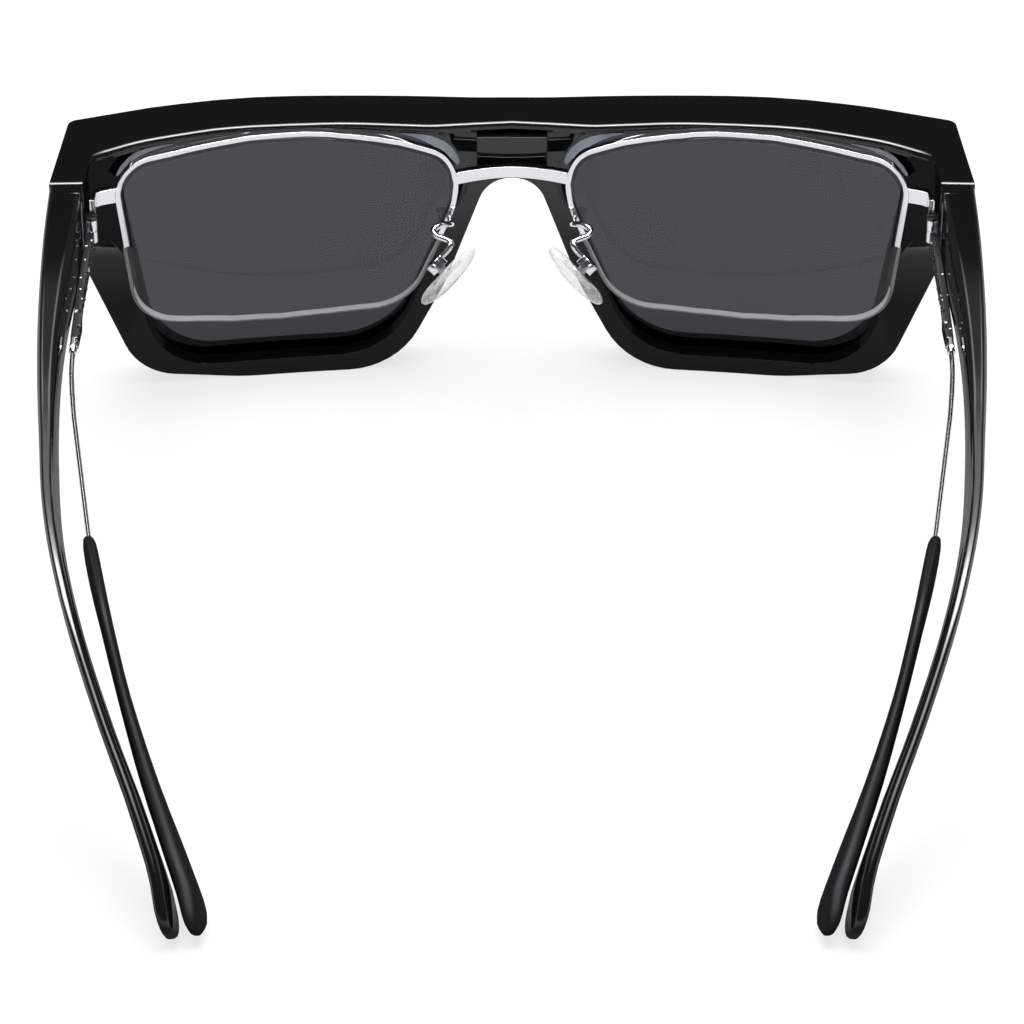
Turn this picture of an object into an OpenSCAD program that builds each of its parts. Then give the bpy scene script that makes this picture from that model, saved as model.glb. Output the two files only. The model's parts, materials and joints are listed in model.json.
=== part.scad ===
// Fit-over sunglasses, nested over a pair of half-rim metal glasses.
// Lengths are in millimetres. +Y is the way the wearer looks, +X is the wearer's right.
// The rims and the temple tips stand on the plane Z = 0.

/* [Sunglass front] */
// Height of the front, table to brow
front_h = 46; // [44:0.5:49]
// Radius that the front is curved to
face_r = 300; // [260:5:340]
// Forward lean of the front
lean = 3; // [1:0.5:5]
// Lean of the rims' back face, which makes them thicker towards the table
back_lean = 5; // [3:0.2:6]
// Rim thickness, front to back
rim_t = 5.5; // [5:0.25:6.5]
// Half width of the front where the temples meet it
arm_half_w = 72.25; // [71.5:0.25:73]
// Thickness of a side arm at the temple joint
arm_t = 5.1; // [4.5:0.1:5.2]
// Height of a side arm at the temple joint
arm_h = 12.6; // [12:0.2:14]
// How far the brow arches up over each lens
brow_rise = 0.9; // [0:0.1:1.5]
// How far the top edge dips over the nose
brow_dip = 0.9; // [0:0.1:2]
// Height of the brow's thin back lip
lip_h = 1.1; // [0.8:0.1:1.6]
// Height of the brow where it meets the rims
brow_h = 2.7; // [2:0.1:3.2]
// Height of the nose arch
arch_h = 33.9; // [32:0.1:34.5]
// Height of the rim under the lens
lower_rim_h = 2.8; // [2.4:0.1:3.6]

/* [Sunglass lens] */
// Thickness of a tinted lens
sun_lens_t = 2; // [1.6:0.1:2.4]
// Depth that a tinted lens sits in its groove
lens_bite = 0.9; // [0.6:0.1:1.2]
// Clearance round a tinted lens
lens_gap = 0.05; // [0.02:0.01:0.1]

/* [Sunglass temples] */
// Slope of a temple half way to the ear bend, in degrees
temple_slope = 4; // [2:0.5:5]
// Slope of a temple where the ear bend starts, in degrees
ear_slope = 9; // [7:0.5:11]
// Slope of a temple behind the ear bend, in degrees
tip_slope = 38; // [34:1:40]
// Length of a temple along its top, from joint to ear bend
bend_start = 76; // [72:1:80]
// Length of the ear bend along its top
bend_l = 32; // [26:1:40]
// Height of the temple tip, seen from the side
tip_h = 8; // [7:0.25:9]
// Gap at the seam between front and temple
seam_gap = 0.1; // [0.06:0.02:0.2]

/* [Sunglass hinge] */
// Radius of a hinge knuckle
knuckle_r = 1.2; // [1:0.05:1.3]
// Height of one hinge knuckle
knuckle_h = 1.6; // [1.4:0.1:1.8]
// Radius of the hinge screw
screw_r = 0.6; // [0.5:0.05:0.7]
// Running clearance of the hinge screw
run_gap = 0.05; // [0.02:0.01:0.08]
// Thickness of a hinge leaf
leaf_t = 0.8; // [0.6:0.1:1]
// Length of a hinge leaf from the hinge axis
leaf_l = 8; // [6:0.5:10]

/* [Metal glasses] */
// Radius that each clear lens is curved to
opt_r = 80; // [76:1:90]
// Depth of the metal rim, front to back
opt_rim_d = 1.2; // [1:0.1:1.3]
// Height of the metal rim band
opt_rim_h = 1.3; // [1:0.1:1.6]
// Thickness of a clear lens
opt_lens_t = 1.4; // [1.2:0.1:1.6]
// Diameter of the nylon cord under a clear lens
nylon_d = 0.5; // [0.4:0.05:0.6]
// Height of the bridge bar at its ends
bar_h = 2.1; // [1.6:0.1:2.4]
// Height of the end piece plate
plate_h = 2.5; // [2:0.1:3]
// Radius of the small hinge knuckles
small_knuckle_r = 0.9; // [0.8:0.05:0.95]
// Height of one small hinge knuckle
small_knuckle_h = 1.95; // [1.7:0.05:2.1]
// Radius of the small hinge screw
small_screw_r = 0.45; // [0.35:0.05:0.5]
// Diameter of the temple wire
wire_d = 0.8; // [0.6:0.05:1]
// Thickness of the ribbed sleeve
sleeve_t = 1; // [0.9:0.05:1.1]
// Height of the ribbed sleeve
sleeve_h = 3.4; // [3:0.1:3.8]

/* [Nose pads] */
// Length of a nose pad
pad_l = 13; // [11:0.5:14]
// Width of a nose pad
pad_w = 7.5; // [6.5:0.25:8.5]
// Thickness of a nose pad
pad_t = 2.6; // [2.2:0.1:3]
// Diameter of the pad arm wire
pad_wire_d = 1.05; // [0.9:0.05:1.2]
// Outer radius of a pad box
pad_box_r = 1.6; // [1.5:0.05:1.8]

/* [Hidden] */
$fn = 48;
far = 90;
tiny = 0.01;

// Places that the front is built from
face_y = 10;
joint_y = -17;
corner_y = 0.5;
hinge_x = arm_half_w - 3.95;
hinge_y = joint_y - 1.6;
hinge_z = front_h - arm_h / 2 - 0.1;
rim_nasal_x = 19;
rim_corner_x = arm_half_w - 11.5;
opening_side = 7.9;
opening_top = front_h - 3.4;
sun_lens_r = face_r - 2;
bridge_top = front_h - brow_dip;
bridge_block_w = 5.6;
bridge_block_y = 2.9;

// Top line of a temple, drawn in short straight steps whose slope grows smoothly
function ease(t) = t <= 0 ? 0 : t >= 1 ? 1 : t * t * (3 - 2 * t);
function slope_at(s) =
  temple_slope * ease(2 * s / bend_start)
  + (ear_slope - temple_slope) * ease(2 * s / bend_start - 1)
  + (tip_slope - ear_slope) * ease((s - bend_start) / bend_l);
function top_line(length, n) =
  let (d = length / n)
  [for (i = 0, p = [joint_y - seam_gap, front_h]; i <= n;
    p = p - d * [cos(slope_at((i + 0.5) * d)), sin(slope_at((i + 0.5) * d))], i = i + 1) p];
ring_steps = 4;
tip_r = tip_h / 2;
bend_end = bend_start + bend_l;
bend_end_z = top_line(bend_end, 240)[240][1];
temple_l = bend_end + (bend_end_z - tip_r * (1 + cos(tip_slope))) / sin(tip_slope);

// Stations at equal steps along a temple: distance of its middle from the arm's outer side,
// width, height and squareness of its section, and how far the section leans out
temple_stations = [
  [arm_t / 2, arm_t, arm_h, 10, 0], [2.55, arm_t - 0.1, arm_h - 0.5, 8, 0], [2.5, 4.2, arm_h - 1.1, 6.5, 0],
  [2.73, 3.55, arm_h - 1.7, 5, 0], [3.4, 2.95, arm_h - 2.3, 4.2, 0.02], [4.4, 2.5, tip_h + 1.7, 3.8, 0.05],
  [5.65, 2.2, tip_h + 1.1, 3.5, 0.12], [7.75, 2.1, tip_h + 0.6, 3.2, 0.18], [10.9, 2.1, tip_h + 0.2, 3, 0.26],
  [15.25, 2.15, tip_h, 3, 0.32], [20.1, 2.35, tip_h, 3, 0.32], [23.9, 2.5, tip_h, 3, 0.32]];
temple_rings = (len(temple_stations) - 1) * ring_steps;
temple_top = top_line(temple_l, temple_rings * 5);
tip_top = temple_top[temple_rings * 5];
bend_y = top_line(bend_start + bend_l / 2, 100)[100][0];
front_most = face_y * cos(lean) + bridge_top * tan(lean);
rear_most = tip_top[0] + tip_r * sin(tip_slope) - tip_r;
middle_y = (front_most + rear_most) / 2;

// Places that the metal glasses are built from
opt_x = 20.6;
opt_y = -0.1;
opt_top = front_h;
bar_z = opt_top - 8.35;
bar_end_x = 9.2;
seat_gap = 0.05;
small_x = arm_half_w - 6.35;
small_y = joint_y + 0.3;
small_z = opt_top - 8.35;
stack_gap = 0.1;

// Arc that rounds the corner b of an outline a, b, c to the radius r
function unit(v) = v / norm(v);
function arc_steps(turn) = max(3, ceil(abs(turn) / 8));
function round_corner(a, b, c, r) =
  let (
    u = unit([a[0] - b[0], a[1] - b[1]]),
    v = unit([c[0] - b[0], c[1] - b[1]]),
    half = acos(u * v) / 2,
    reach = r / tan(half),
    centre = [b[0], b[1]] + unit(u + v) * r / sin(half),
    p = [b[0], b[1]] + u * reach - centre,
    q = [b[0], b[1]] + v * reach - centre,
    start = atan2(p[1], p[0]),
    turn = (atan2(q[1], q[0]) - start + 540) % 360 - 180,
    n = arc_steps(turn)
  )
  [for (i = [0:n]) centre + r * [cos(start + turn * i / n), sin(start + turn * i / n)]];
// Points are [x, y] or [x, y, corner radius]
function corner(pts, i, j, k) =
  len(pts[j]) < 3 ? [[pts[j][0], pts[j][1]]] : round_corner(pts[i], pts[j], pts[k], pts[j][2]);
function closed_round(pts) =
  let (n = len(pts)) [for (i = [0:n - 1]) each corner(pts, (i + n - 1) % n, i, (i + 1) % n)];
function open_round(pts) =
  let (n = len(pts))
  [for (i = [0:n - 1]) each i == 0 || i == n - 1 ? [[pts[i][0], pts[i][1]]] : corner(pts, i - 1, i, i + 1)];
// A half outline joined with its mirror image
function both_halves(path) =
  concat(path, [for (i = [len(path) - 1:-1:0]) if (path[i][0] > tiny) [-path[i][0], path[i][1]]]);
// A rounded convex outline with every side moved out by d
function grow(pts, d) =
  let (n = len(pts))
  [for (i = [0:n - 1])
    let (
      b = [pts[i][0], pts[i][1]],
      a = pts[(i + n - 1) % n],
      c = pts[(i + 1) % n],
      u = unit([a[0], a[1]] - b),
      v = unit([c[0], c[1]] - b),
      moved = b - unit(u + v) * d / sin(acos(u * v) / 2)
    )
    [moved[0], moved[1], max(pts[i][2] + d, 0.1)]];

// Smooth path through stations, which are vectors of any length
function between(a, b, c, d, t) =
  0.5 * (2 * b + (c - a) * t + (2 * a - 5 * b + 4 * c - d) * t * t + (3 * b - a - 3 * c + d) * t * t * t);
function smooth_path(s, steps) =
  let (n = len(s) - 1)
  concat([for (i = [0:n - 1]) for (k = [0:steps - 1])
    between(s[max(i - 1, 0)], s[i], s[i + 1], s[min(i + 2, n)], k / steps)], [s[n]]);

// Skin over rings that all have the same number of points
module skin(rings) {
  n = len(rings[0]);
  m = len(rings);
  sides = [for (j = [0:m - 2]) for (i = [0:n - 1])
    let (a = j * n + i, b = j * n + (i + 1) % n) each [[a, b, a + n], [b, b + n, a + n]]];
  first = [for (i = [1:n - 2]) [0, i + 1, i]];
  last = [for (i = [1:n - 2]) [(m - 1) * n, (m - 1) * n + i, (m - 1) * n + i + 1]];
  polyhedron(points = [for (r = rings) each r], faces = concat(first, sides, last), convexity = 6);
}
// Round wire along a path of points
function wire_ring(path, i, r, sides) =
  let (
    n = len(path) - 1,
    along = unit(path[min(i + 1, n)] - path[max(i - 1, 0)]),
    across = unit(cross(along, [0.05, 0.1, 1])),
    up = cross(across, along)
  )
  [for (k = [0:sides - 1]) path[i] + r * (across * cos(k * 360 / sides) + up * sin(k * 360 / sides))];
module wire(path, r, sides = 8) {
  skin([for (i = [0:len(path) - 1]) wire_ring(path, i, r, sides)]);
}

// Frames of reference
module place() {
  translate([0, -middle_y, 0]) children();
}
module leaning() {
  rotate([-lean, 0, 0]) children();
}
module along_y() {
  translate([0, far / 2, 0]) rotate([90, 0, 0]) linear_extrude(far) children();
}
module on_side(s) {
  if (s > 0) children();
  else mirror([1, 0, 0]) children();
}

// Curved sheet between two radii of the front's own curve
module face_sheet(r_in, r_out) {
  leaning() translate([0, face_y - face_r, -far / 2]) difference() {
    cylinder(r = r_out, h = 2 * far, $fn = 180);
    translate([0, 0, -tiny]) cylinder(r = r_in, h = 2 * far + 1, $fn = 180);
  }
}
// Space behind the rims, which lean further forward than their face
module back_space() {
  back_r = face_r - rim_t;
  leaning() translate([0, face_y - rim_t, front_h]) rotate([lean - back_lean, 0, 0])
    translate([0, -back_r, -2 * far]) cylinder(r = back_r, h = 3 * far, $fn = 180);
}
// The front's curve with the two flat sides and their small corners
module envelope() {
  side_slope = 0.304;
  corner_x = arm_half_w - 1.7;
  half = open_round([[0, corner_x * side_slope + corner_y], [corner_x, corner_y, 1.8],
    [arm_half_w + 0.15, joint_y - 4], [0, joint_y - 4]]);
  leaning() intersection() {
    translate([0, 0, -far / 2]) linear_extrude(2 * far) polygon(both_halves(half));
    translate([0, face_y - face_r, -far / 2]) cylinder(r = face_r, h = 2 * far, $fn = 180);
  }
}

// Outlines of the front, seen along Y
function front_outline() = both_halves(open_round([
  [0, arch_h], [3.9, arch_h, 5.4], [11, 0.445 * arch_h, 25], [rim_nasal_x, 0, 13], [rim_corner_x - 16.75, 0, 40],
  [rim_corner_x - 0.1, 2.4, 10], [arm_half_w + 0.4, front_h - arm_h - 0.5, 14], [arm_half_w + 1, front_h, 0.5],
  [arm_half_w - 15, front_h + 0.35, 100], [arm_half_w - 28, front_h + brow_rise, 200],
  [6, bridge_top, 100], [0, bridge_top]]));
opening_drop = opening_top - arch_h + 2.4;
opening = [
  [opening_side - 0.2, opening_top, 0.676 * opening_drop],
  [opening_side + 0.1, opening_top - opening_drop, 0.81 * opening_drop], [20, lower_rim_h, 13],
  [rim_corner_x - 2.9, lower_rim_h, 11], [arm_half_w - 8, opening_top + 0.4, 8]];

// Plan of the brow: its back edge, moved forward by d
function brow_plan(d) = both_halves(concat(
  open_round([[0, 4.1 + d], [6, 3.5 + d, 15], [13, 2.2 + d, 15], [26.5, 2.05 + d, 60],
    [arm_half_w - 26, -0.8 + d, 60], [arm_half_w - 13.5, -4.15 + d, 20], [arm_half_w - 6, -8.4 + d, 5],
    [arm_half_w - arm_t, joint_y - 1 + d]]),
  [[far, joint_y - 1 + d], [far, 40], [0, 40]]));

// Strip of the given height along the top of the front
module top_strip(h) {
  along_y() difference() {
    polygon(front_outline());
    translate([0, -h]) polygon(front_outline());
  }
}
module brow() {
  intersection() {
    top_strip(lip_h);
    linear_extrude(far) polygon(brow_plan(0));
  }
  intersection() {
    top_strip(brow_h);
    linear_extrude(far) polygon(brow_plan(2.2));
  }
}
// Side arm that reaches back to the temple
module side_arm(s) {
  inner = arm_half_w - 12.2;
  plan = open_round([[arm_half_w - arm_t, joint_y - 2], [arm_half_w - 5.4, -10, 8], [inner, 1, 9],
    [inner, 20], [far, 20], [far, joint_y - 2]]);
  profile = open_round([[joint_y, front_h], [joint_y, front_h - arm_h], [-7, front_h - arm_h - 1.8, 12],
    [0, front_h - 26], [8, front_h - 26], [8, front_h]]);
  on_side(s) intersection() {
    linear_extrude(far) polygon(plan);
    rotate([90, 0, 90]) linear_extrude(far) polygon(profile);
    along_y() polygon(front_outline());
  }
}
// Raised block on the bridge: its back sweeps out to the ledge that the metal bridge bar stands on
module bridge_seat() {
  ledge_y = opt_y + 1.4;
  ledge_z = bar_z - bar_h / 2 + 0.2 - seat_gap;
  plan = closed_round([[-bridge_block_w, 9, 0.5], [-bridge_block_w, ledge_y - 1, 2.4],
    [bridge_block_w, ledge_y - 1, 2.4], [bridge_block_w, 9, 0.5]]);
  profile = open_round([[9, bridge_top - brow_h + 0.7], [bridge_block_y, bridge_top - brow_h + 0.7],
    [bridge_block_y, ledge_z + 1.2, 0.9], [ledge_y + 0.85, ledge_z, 0.2], [ledge_y, ledge_z, 0.05],
    [ledge_y, ledge_z - 0.15], [9, ledge_z - 2.75]]);
  intersection() {
    linear_extrude(far) polygon(plan);
    rotate([90, 0, 90]) translate([0, 0, -far / 2]) linear_extrude(far) polygon(profile);
  }
}
// Room for a hinge leaf and its knuckles in the front or in a temple
module hinge_pocket(s, toward) {
  h = 5 * knuckle_h + 0.3;
  on_side(s) translate([hinge_x, hinge_y, hinge_z - h / 2]) {
    cylinder(r = knuckle_r + 0.15, h = h);
    translate([-leaf_t - 0.05, toward > 0 ? 0 : -leaf_l - 0.1, 0]) cube([leaf_t + 0.1, leaf_l + 0.1, h]);
    translate([-4, toward > 0 ? 0 : -1.2, 0]) cube([4 - knuckle_r * 0.4, 2.8, h]);
    if (toward < 0) translate([-4, 0, 0]) cube([4.05, 1.6, h]);
  }
}
module sun_front() {
  color([0.04, 0.04, 0.045]) difference() {
    intersection() {
      union() {
        difference() {
          along_y() polygon(front_outline());
          back_space();
        }
        brow();
        side_arm(1);
        side_arm(-1);
        bridge_seat();
      }
      envelope();
      translate([-far, joint_y, -1]) cube([2 * far, far, far]);
    }
    for (s = [-1, 1]) {
      on_side(s) along_y() polygon(closed_round(opening));
      on_side(s) intersection() {
        along_y() polygon(closed_round(grow(opening, lens_bite + lens_gap)));
        face_sheet(sun_lens_r - sun_lens_t - lens_gap, sun_lens_r + lens_gap);
      }
      hinge_pocket(s, 1);
    }
  }
}
module sun_lens(s) {
  color([0.1, 0.1, 0.12, 0.6]) on_side(s) intersection() {
    along_y() polygon(closed_round(grow(opening, lens_bite)));
    face_sheet(sun_lens_r - sun_lens_t, sun_lens_r);
  }
}

// Five knuckles on one screw: the front leaf has the odd ones, the temple leaf the even ones
module hinge_leaf(s, first, toward, bore) {
  h = 5 * knuckle_h;
  leaf_z = first == 0 ? h : 3 * knuckle_h - 0.1;
  color("silver") on_side(s) translate([hinge_x, hinge_y, hinge_z - h / 2]) difference() {
    union() {
      for (k = [first:2:4]) {
        translate([0, 0, k * knuckle_h + 0.05]) cylinder(r = knuckle_r, h = knuckle_h - 0.1);
        translate([-leaf_t, toward > 0 ? 0 : -2, k * knuckle_h + 0.05])
          cube([leaf_t, 2, knuckle_h - 0.1]);
      }
      translate([-leaf_t, toward > 0 ? knuckle_r + 0.4 : -leaf_l, (h - leaf_z) / 2 + 0.05])
        cube([leaf_t, leaf_l - knuckle_r - 0.4, leaf_z - 0.1]);
    }
    translate([0, 0, -1]) cylinder(r = bore, h = h + 2);
  }
}
module sun_hinge_screw(s) {
  h = 5 * knuckle_h;
  color("silver") on_side(s) translate([hinge_x, hinge_y, hinge_z - h / 2]) {
    translate([0, 0, 0.1]) cylinder(r = screw_r, h = h - 0.1);
    translate([0, 0, h - 0.02]) cylinder(r = knuckle_r - 0.1, h = 0.14);
  }
}

// Section of a temple: a rounded oblong, with more points along its crown than below
section_turns = concat([0, 20, 40, 55, 65, 73, 79, 84, 87, 90], [for (a = [87, 84, 79, 73, 65, 55, 40, 20]) 180 - a],
  [180, 210, 240, 258, 270, 282, 300, 330]);
function oblong(a, b, square) =
  [for (t = section_turns)
    [a * sign(cos(t)) * pow(abs(cos(t)), 2 / square), b * sign(sin(t)) * pow(abs(sin(t)), 2 / square)]];
function temple_ring(middle, along, a, b, square, lean_out) =
  let (
    across = unit([along[1], -along[0], 0]),
    up = cross(across, along)
  )
  [for (q = oblong(a, b, square)) middle + across * (q[0] - lean_out * q[1]) + up * q[1]];
stations = smooth_path(temple_stations, ring_steps);
middles = [for (i = [0:temple_rings])
  let (
    slope = slope_at(i * temple_l / temple_rings),
    top = temple_top[i * 5],
    half = stations[i][2] / 2
  )
  [arm_half_w - stations[i][0], top[0] + half * sin(slope), top[1] - half * cos(slope)]];
ahead = [for (i = [0:temple_rings])
  i == 0 ? [0, -1, 0] : unit(middles[min(i + 1, temple_rings)] - middles[i - 1])];
module sun_temple(s) {
  rings = [for (i = [0:temple_rings])
    temple_ring(middles[i], ahead[i], stations[i][1] / 2, stations[i][2] / 2, stations[i][3],
      stations[i][4])];
  end = stations[temple_rings];
  round_end = [for (a = [15:15:75])
    temple_ring(middles[temple_rings] + ahead[temple_rings] * tip_r * sin(a), ahead[temple_rings],
      end[1] / 2 * sqrt(cos(a)), tip_r * cos(a), end[3], end[4])];
  color([0.04, 0.04, 0.045]) difference() {
    union() {
      on_side(s) difference() {
        skin(concat(rings, round_end));
        translate([hinge_x - 5, hinge_y, 0]) cube([5, 5, far]);
      }
      on_side(s) intersection() {
        translate([hinge_x, hinge_y, front_h - arm_h]) cylinder(r = 1.6 - seam_gap - 0.05, h = arm_h);
        translate([arm_half_w - arm_t, hinge_y - 1, 0]) cube([5, 5, front_h]);
      }
    }
    hinge_pocket(s, -1);
  }
}

// Outline of a clear lens, seen along Y, and the metal rim's two ends
opt_outline = [
  [8, opt_top - 5.6, 5.5], [27, opt_top - 0.6, 50], [arm_half_w - 28, opt_top, 60],
  [arm_half_w - 9.15, opt_top + 0.4, 5.5], [arm_half_w - 12.45, opt_top - 28.5, 9],
  [arm_half_w - 31, opt_top - 33.7, 1.55 * (arm_half_w - 31)], [16.9, opt_top - 31.6, 10], [9, opt_top - 13.5, 20]];
rim_end_nasal = opt_top - 18.2;
rim_end_side = opt_top - 14.5;
module opt_sheet(r_in, r_out) {
  translate([opt_x, opt_y, opt_top]) rotate([-lean, 0, 0]) translate([0, -opt_r, -far / 2]) difference() {
    cylinder(r = r_out, h = far, $fn = 120);
    translate([0, 0, -tiny]) cylinder(r = r_in, h = far + 1, $fn = 120);
  }
}
module above_rim_ends() {
  middle = arm_half_w - 32;
  polygon([[0, rim_end_nasal], [middle, rim_end_nasal], [middle, rim_end_side], [far, rim_end_side],
    [far, far], [0, far]]);
}
module optical_rim(s) {
  color("silver") on_side(s) intersection() {
    along_y() intersection() {
      difference() {
        polygon(closed_round(opt_outline));
        polygon(closed_round(grow(opt_outline, -opt_rim_h)));
      }
      above_rim_ends();
    }
    opt_sheet(opt_r, opt_r + opt_rim_d);
  }
}
module optical_lens(s) {
  color([0.8, 0.85, 0.9, 0.3]) on_side(s) intersection() {
    along_y() difference() {
      polygon(closed_round(grow(opt_outline, -nylon_d / 2)));
      intersection() {
        difference() {
          square(200, center = true);
          polygon(closed_round(grow(opt_outline, -opt_rim_h - 0.02)));
        }
        translate([0, -0.02]) above_rim_ends();
      }
    }
    opt_sheet(opt_r + opt_rim_d / 2 - opt_lens_t / 2, opt_r + opt_rim_d / 2 + opt_lens_t / 2);
  }
}
module optical_nylon(s) {
  color([0.85, 0.85, 0.85]) on_side(s) intersection() {
    along_y() difference() {
      polygon(closed_round(grow(opt_outline, nylon_d / 2)));
      polygon(closed_round(grow(opt_outline, -nylon_d / 2 + 0.02)));
      translate([0, -0.03]) above_rim_ends();
    }
    opt_sheet(opt_r + opt_rim_d / 2 - nylon_d / 2, opt_r + opt_rim_d / 2 + nylon_d / 2);
  }
}
// Flat bar between the rims that bows forward
module optical_bridge() {
  bow_r = 24;
  bow_y = opt_y + 0.85;
  bar = closed_round([[-bar_end_x, bar_z - bar_h / 2, 0.1], [-bar_end_x, bar_z + bar_h / 2, 0.1],
    [0, bar_z + bar_h / 2 + 0.2, 40], [bar_end_x, bar_z + bar_h / 2, 0.1], [bar_end_x, bar_z - bar_h / 2, 0.1],
    [0, bar_z - bar_h / 2 + 0.4, 40]]);
  color("silver") intersection() {
    along_y() polygon(bar);
    translate([0, bow_y - bow_r, 0]) difference() {
      cylinder(r = bow_r + opt_rim_d, h = far, $fn = 90);
      translate([0, 0, -1]) cylinder(r = bow_r, h = far + 2, $fn = 90);
    }
  }
}
// Plate on the rim's outer side that turns back to the small hinge
module optical_endpiece(s) {
  plate_z = small_z + small_knuckle_h + 0.2;
  turn_x = small_x + 0.35;
  rim_x = small_x - 3.9;
  plate = [[rim_x, small_y + 6], [turn_x - 1.1, small_y + 4.8], [turn_x - 0.1, small_y + 3.5], [turn_x, small_y],
    [turn_x - 0.9, small_y], [turn_x - 0.95, small_y + 3.3], [turn_x - 1.7, small_y + 3.9],
    [rim_x, small_y + 4.8]];
  knuckle_z = small_z + stack_gap / 2;
  head_z = knuckle_z + small_knuckle_h;
  color("silver") on_side(s) difference() {
    union() {
      translate([0, 0, plate_z]) linear_extrude(plate_h) polygon(plate);
      translate([small_x, small_y, knuckle_z]) cylinder(r = small_knuckle_r, h = small_knuckle_h);
      translate([turn_x - 0.9, small_y, knuckle_z]) cube([0.9, 3, plate_z - knuckle_z + 0.5]);
    }
    translate([small_x, small_y, 0]) cylinder(r = small_screw_r + 0.02, h = far);
    translate([small_x, small_y, head_z]) cylinder(r = small_knuckle_r + 0.25, h = plate_h + 2);
  }
}
module optical_hinge_screw(s) {
  head_z = small_z + small_knuckle_h + stack_gap / 2;
  color([0.1, 0.1, 0.1]) on_side(s) difference() {
    union() {
      translate([small_x, small_y, small_z - small_knuckle_h])
        cylinder(r = small_screw_r, h = 2 * small_knuckle_h + stack_gap);
      translate([small_x, small_y, head_z + 0.02]) cylinder(r = small_knuckle_r + 0.1, h = 0.55);
    }
    translate([small_x - 2, small_y - 0.12, head_z + 0.35]) cube([4, 0.24, 1]);
  }
}

// Stations of the metal temple's bar and wire: distance from the arm's outer side, y, fall from the hinge
function beside(stations) = [for (p = stations) [arm_half_w - p[0], p[1], small_z - p[2]]];
bar_path = beside([[6.3, -18, 1.05], [5.95, -25, 1.45], [5.55, -38, 2.05], [5.45, -48, 2.75]]);
wire_path = beside([[5.45, -48, 2.75], [5.6, -54, 3.25], [6.7, -64.5, 4.25], [8.55, -77.2, 5.35],
  [10.6, -91.6, 6.65], [11.5, -96.5, 7.35]]);
clasp_y = -47.45;
clasp_l = 2.6;
module optical_temple(s) {
  bar_plan = concat(
    [for (p = smooth_path(bar_path, 4)) [p[0] + 0.25, p[1]]],
    [for (i = [len(bar_path) * 4 - 4:-1:0]) let (p = smooth_path(bar_path, 4)[i]) [p[0] - 0.25, p[1]]]);
  color("silver") on_side(s) union() {
    difference() {
      union() {
        translate([small_x, small_y, small_z - stack_gap / 2 - small_knuckle_h])
          cylinder(r = small_knuckle_r, h = small_knuckle_h);
        intersection() {
          linear_extrude(far) polygon(concat([[small_x + 0.2, small_y]], bar_plan, [[small_x - 0.2, small_y]]));
          rotate([90, 0, 90]) linear_extrude(far) polygon([[small_y, small_z - 0.15], [small_y, small_z - 1.95],
            [-17.5, small_z - 1.95], [-48, small_z - 3.75], [-48, small_z - 1.75], [-17.5, small_z - 0.15]]);
        }
      }
      translate([small_x, small_y, 0]) cylinder(r = small_screw_r + run_gap, h = far);
    }
    wire(smooth_path(wire_path, 4), wire_d / 2);
  }
}
// Black sleeve on the bar, with rings, a row of studs on its inner face and a swell near its end
module optical_sleeve(s) {
  face = [for (p = smooth_path(bar_path, 4)) [p[0] + sleeve_t / 2, p[1]]];
  back = [for (i = [len(bar_path) * 4 - 4:-1:0]) let (
    p = smooth_path(bar_path, 4)[i],
    swell = 0.35 * exp(-pow((p[1] + 41.5) / 3.2, 2)))
    [p[0] - sleeve_t / 2 - swell, p[1]]];
  half = sleeve_h / 2;
  front_z = bar_path[0][2];
  rear_z = bar_path[len(bar_path) - 1][2];
  side = closed_round([[-18.2, front_z + half, 0.5], [clasp_y + clasp_l / 2, rear_z + half - 0.6, 0.5],
    [clasp_y + clasp_l / 2, rear_z - half + 0.6, 0.5], [-18.2, front_z - half, 0.5]]);
  color([0.06, 0.06, 0.06]) on_side(s) {
    intersection() {
      linear_extrude(far) polygon(concat(face, back));
      rotate([90, 0, 90]) linear_extrude(far) polygon(side);
    }
    for (i = [1:7]) {
      p = smooth_path(bar_path, 3)[i];
      translate([p[0] - sleeve_t / 2, p[1], p[2] + (i % 2 == 0 ? 0.75 : -0.55)]) sphere(r = 0.3, $fn = 16);
      translate([p[0] - sleeve_t / 2 - 0.12, p[1] - 1.3, p[2] - half + 0.5]) cube([0.3, 0.35, sleeve_h - 1]);
    }
  }
}
module optical_clasp(s) {
  color("silver") on_side(s) translate([bar_path[3][0], clasp_y, bar_path[3][2] + 0.1]) rotate([90 + 4, 0, 0]) {
    for (z = [-clasp_l / 2, clasp_l / 2 - 0.9]) translate([0, 0, z]) cylinder(r = 0.62, h = 0.9);
    translate([0, 0, -clasp_l / 2]) cylinder(r = 0.5, h = clasp_l);
  }
}
// Stations of a wire's tip: ring of the outer temple that it lies beside, distance inside it and in
// front of it, share of its fall to the table, half thickness, half height, inward lean of the section
tip_start_z = small_z - 6.85;
tip_end_z = 3.1;
tip_stations = [for (p = [
  [24, 5, 0, 1, 0.45, 0.6, 0], [25, 4.96, 1.5, 0.993, 1, 1.7, 0], [27, 5.37, -0.1, 0.96, 1.05, 2.1, 0],
  [30, 5.17, 0, 0.888, 1, 2.8, 0.1], [34, 4.28, 1.05, 0.653, 1, 3.2, 0.15], [38, 3.42, 1.2, 0.39, 1.35, 3.6, 0.22],
  [41, 3.8, 0.3, 0.162, 1.65, 4, 0.3], [43, 4.17, -1.1, 0.05, 1.65, 3.2, 0.35],
  [44, 3.92, -2.4, 0.011, 1.1, 1.7, 0.35], [44, 4.1, -3.5, 0, 0.4, 0.6, 0.35]])
  let (m = middles[p[0]])
  [m[0] - p[1], m[1] + p[2], tip_end_z + (tip_start_z - tip_end_z) * p[3], p[4], p[5], p[6]]];
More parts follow.
